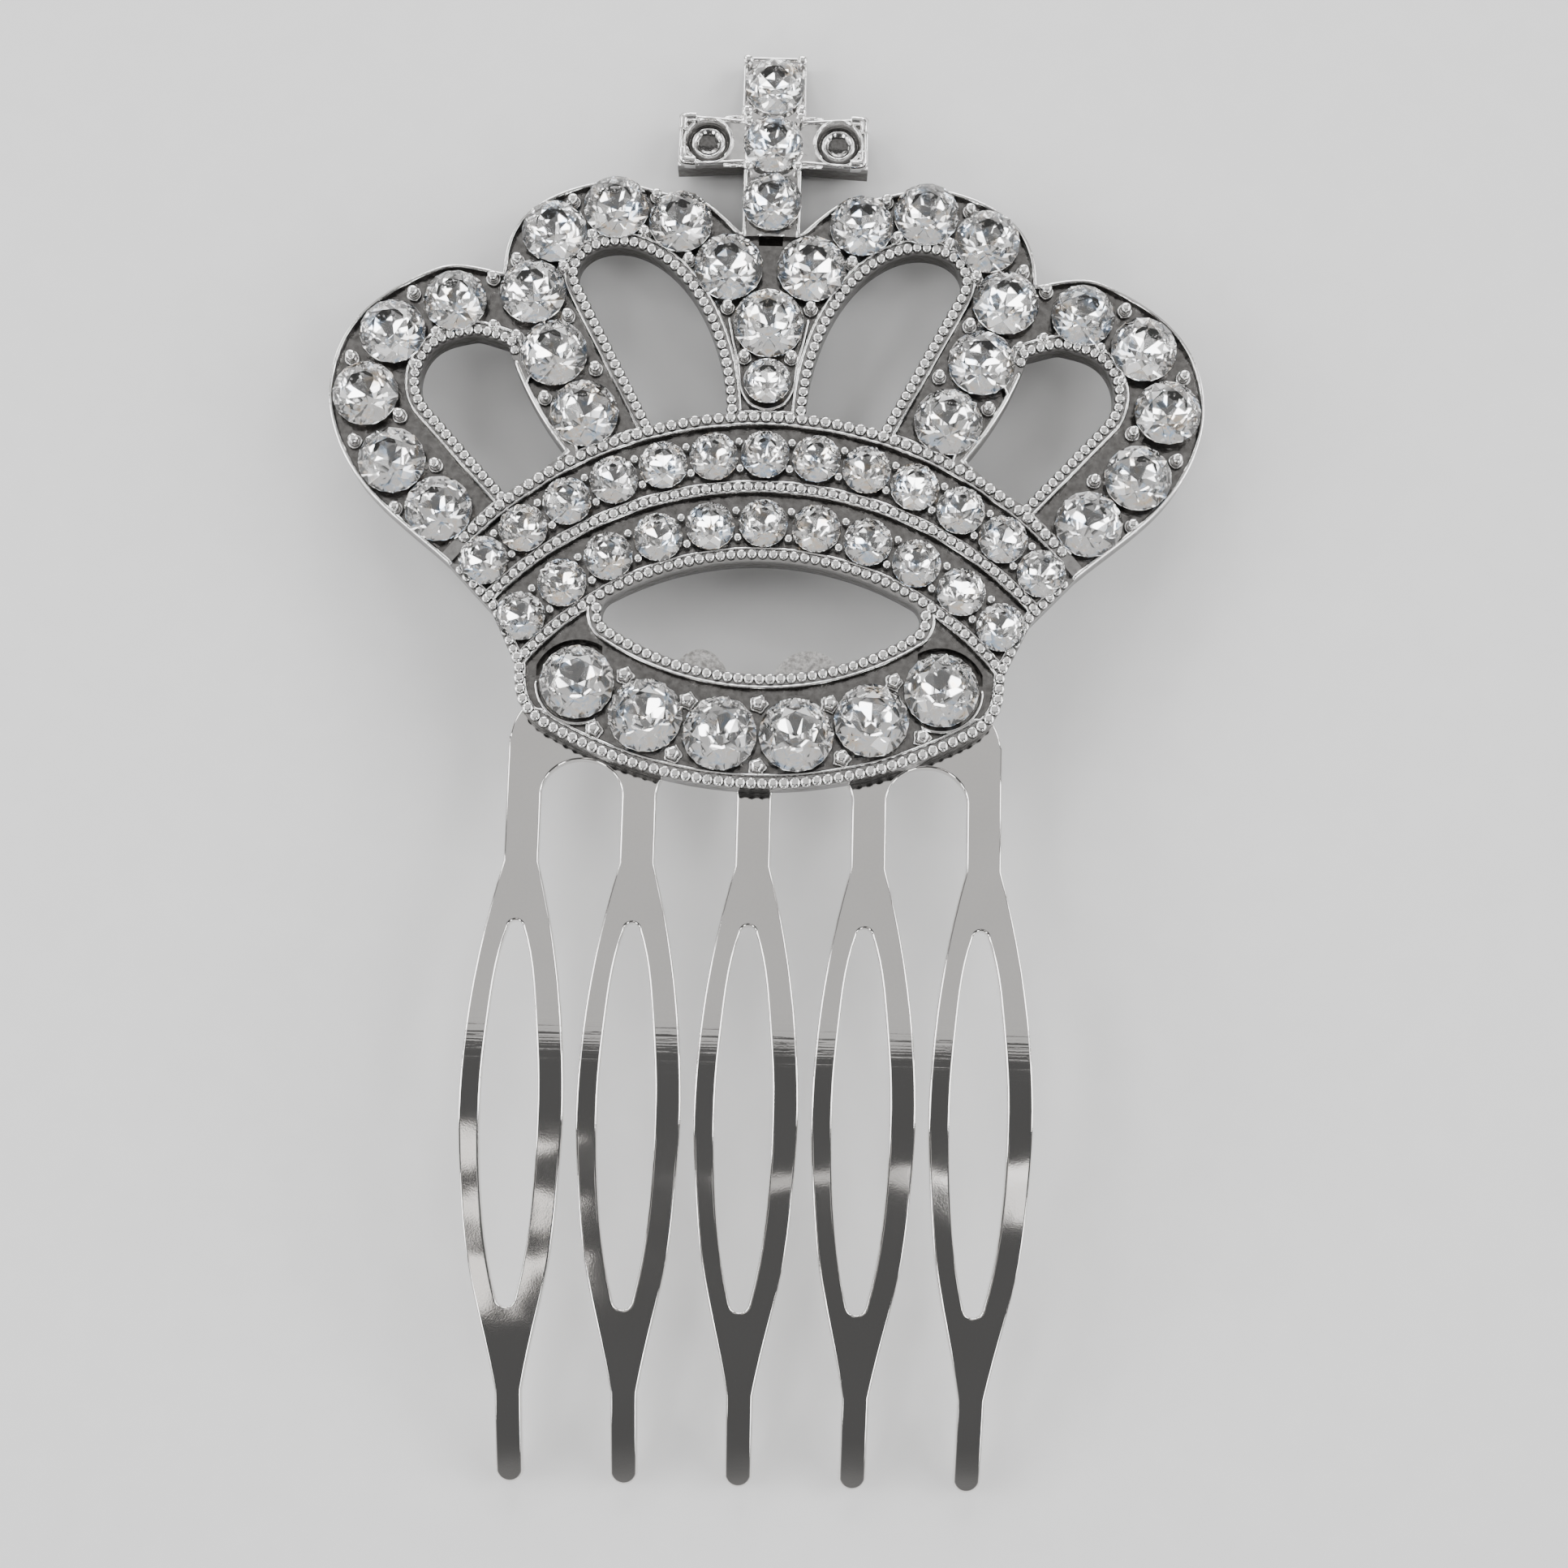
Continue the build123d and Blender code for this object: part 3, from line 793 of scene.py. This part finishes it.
def comb_sheet():
    """The comb with its stamped edges rounded: drawn flat, cut into short steps and bent."""
    loops = [anticlockwise(p) for p, _ in edge_chains("comb", on_comb_front)]
    loops.sort(key=area, reverse=True)
    paths = loops[:1] + [p[::-1] for p in loops[1:]]
    turns = [math.radians(15 * k) for k in range(7)]
    roll = [(FRONT_ROLL * (1 - math.sin(a)), -FRONT_ROLL * (1 - math.cos(a))) for a in turns]
    turns.reverse()
    roll += [(BACK_ROLL * (1 - math.sin(a)), -SHEET + BACK_ROLL * (1 - math.cos(a))) for a in turns]
    flat = bmesh.new()
    front, back, edges = [], [], []
    for path in paths:
        rings = [[flat.verts.new((x, y, z)) for x, y in offset(path, inset)] for inset, z in roll]
        count, first = len(path), len(front)
        for above, below in zip(rings, rings[1:]):
            for k in range(count):
                after = (k + 1) % count
                flat.faces.new((below[k], below[after], above[after], above[k]))
        front += rings[0]
        back += rings[-1]
        edges += [(first + k, first + (k + 1) % count) for k in range(count)]
    for border, step, inset in ((front, 1, FRONT_ROLL), (back, -1, BACK_ROLL)):
        slots = [offset(path, inset) for path in paths[1:]]
        spots = [Vector((v.co.x, v.co.y)) for v in border]
        spread, _, faces, origins, _, _ = geometry.delaunay_2d_cdt(spots, edges, [], 1, 1e-5)
        for face in faces:
            middle = sum((spread[i] for i in face), Vector((0, 0))) / len(face)
            if not any(inside(middle, slot) for slot in slots):
                flat.faces.new([border[origins[i][0]] for i in face][::step])
    y = -BEND_START
    while y > along_sheet(TOOTH_END):
        everything = flat.verts[:] + flat.edges[:] + flat.faces[:]
        plane = {"plane_co": (0, y, 0), "plane_no": (0, 1, 0)}
        bmesh.ops.bisect_plane(flat, geom=everything, dist=1e-4, **plane)
        y -= BEND_STEP
    bmesh.ops.triangulate(flat, faces=[f for f in flat.faces if len(f.verts) > 4])
    points, facing = [], []
    flat.verts.index_update()
    for v in flat.verts:
        deep = -v.co.z / SHEET
        height = sheet_height(v.co.y, 0) * (1 - deep) + sheet_height(v.co.y, SHEET) * deep
        lean = max(0.0, -BEND_START - v.co.y)
        points.append((v.co.x, v.co.y, height))
        if deep < 1e-4:
            facing.append(Vector((0, -lean, math.sqrt(BEND_RADIUS**2 - lean**2))))
        elif deep > 1 - 1e-4:
            facing.append(Vector((0, lean, -math.sqrt((BEND_RADIUS - SHEET) ** 2 - lean**2))))
        else:
            facing.append(None)
    faces = [[v.index for v in f.verts] for f in flat.faces]
    flat.free()
    sheet = piece("comb_sheet", points, faces, STEEL)
    turn = TO_ROW.to_3x3().normalized()
    own = [v.normal for v in sheet.data.vertices]
    normals = [n if f is None else (turn @ f).normalized() for n, f in zip(own, facing)]
    sheet.data.normals_split_custom_set_from_vertices(normals)
    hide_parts("comb")


beaded_edges()
rims()
bezels()
prongs()
cross_work()
comb_sheet()

# finishes on the solids, with foil on the stones' lower facets
tilted_up = Vector((0, math.sin(TILT), math.cos(TILT)))
for name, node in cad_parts.items():
    node.data.materials.clear()
    if name == "crown_frame":
        node.data.materials.append(CASTING)
    elif name == "comb":
        node.data.materials.append(STEEL)
    elif name.startswith("glue"):
        node.data.materials.append(GLUE)
    else:
        node.data.materials.append(STONE)
        node.data.materials.append(FOIL)
        node.data.polygons.foreach_set("use_smooth", [False] * len(node.data.polygons))
        for facet in node.data.polygons:
            facet.material_index = 1 if facet.normal.dot(tilted_up) < -0.2 else 0


def floor():
    """A plain pale floor."""
    finish = Finish("studio_floor", Roughness=0.7)
    place = finish.place()
    finish.feed("Base Color", finish.mix(finish.noise(place, 0.4, 4.0), grey(0.84), grey(0.90)))
    mesh = bpy.data.meshes.new("studio_floor")
    corners = [(-1.5, -1.5, 0), (1.5, -1.5, 0), (1.5, 1.5, 0), (-1.5, 1.5, 0)]
    mesh.from_pydata(corners, [], [(0, 1, 2, 3)])
    mesh.materials.append(finish.material)
    made = bpy.data.objects.new("studio_floor", mesh)
    bpy.context.scene.collection.objects.link(made)


def panel(name, direction, distance, width, height, radiance, warm=0.0):
    """A soft light panel that faces the comb. Its direction is in degrees off the zenith, in x and y."""
    light = bpy.data.lights.new(name, "AREA")
    light.shape = "RECTANGLE"
    light.size = width
    light.size_y = height
    light.energy = radiance * math.pi * width * height
    light.color = (1 + warm, 1, 1 - warm)
    made = bpy.data.objects.new(name, light)
    ax, ay = (math.radians(a) for a in direction)
    towards = Vector((math.tan(ax), math.tan(ay), 1)).normalized()
    made.location = towards * distance
    made.rotation_euler = towards.to_track_quat("Z", "Y").to_euler()
    made.visible_camera = False
    bpy.context.scene.collection.objects.link(made)


def studio():
    """Soft surroundings: dim overhead, brighter near the horizon and on the far side."""
    world = bpy.data.worlds.new("studio")
    world.use_nodes = True
    nodes = Nodes(world.node_tree)
    towards = nodes.node("ShaderNodeTexCoord", {}, {}, "Generated")
    rise, far = nodes.part(towards, "Z"), nodes.part(towards, "Y")
    bright = (1 - rise.between(0.12, 0.5)) * 0.75 + far.between(0.0, 0.6) * 0.25
    sky = nodes.mix(bright, grey(0.11), grey(0.6, 0.01))
    nodes.tree.links.new(sky.socket, world.node_tree.nodes["Background"].inputs["Color"])
    bpy.context.scene.world = world


floor()
studio()
panel("overhead_panel", (0, 23), 0.8, 0.75, 0.54, 0.56, 0.012)
panel("low_strip", (4, -17), 0.8, 0.16, 0.03, 0.7, 0.03)
for n, rise in enumerate((-15, -25, -35)):
    panel("left_gleam_" + str(n + 1), (-10.8, rise), 0.9, 0.08, 0.16, 1.6, 0.04)
panel("right_gleam", (8.6, -19), 0.9, 0.09, 0.12, 1.6, 0.02)
STRIPS = (
    ((-68, -10), 11), ((-66, 26), 11), ((70, -5), 11), ((64, 30), 11), ((-36, 66), 13),
    ((-4, 70), 13), ((28, 67), 13), ((-48, 46), 9), ((50, 40), 9), ((-45, -52), 10),
    ((40, -57), 10), ((-67, -48), 9), ((66, -50), 9),
)
for n, (direction, radiance) in enumerate(STRIPS):
    panel("strip_panel_" + str(n + 1), direction, 0.9, 0.17, 0.3, radiance)
panel("fill_panel_left", (-42, 8), 0.9, 0.36, 0.3, 4.2)
panel("fill_panel_right", (43, 4), 0.9, 0.36, 0.3, 4.2)
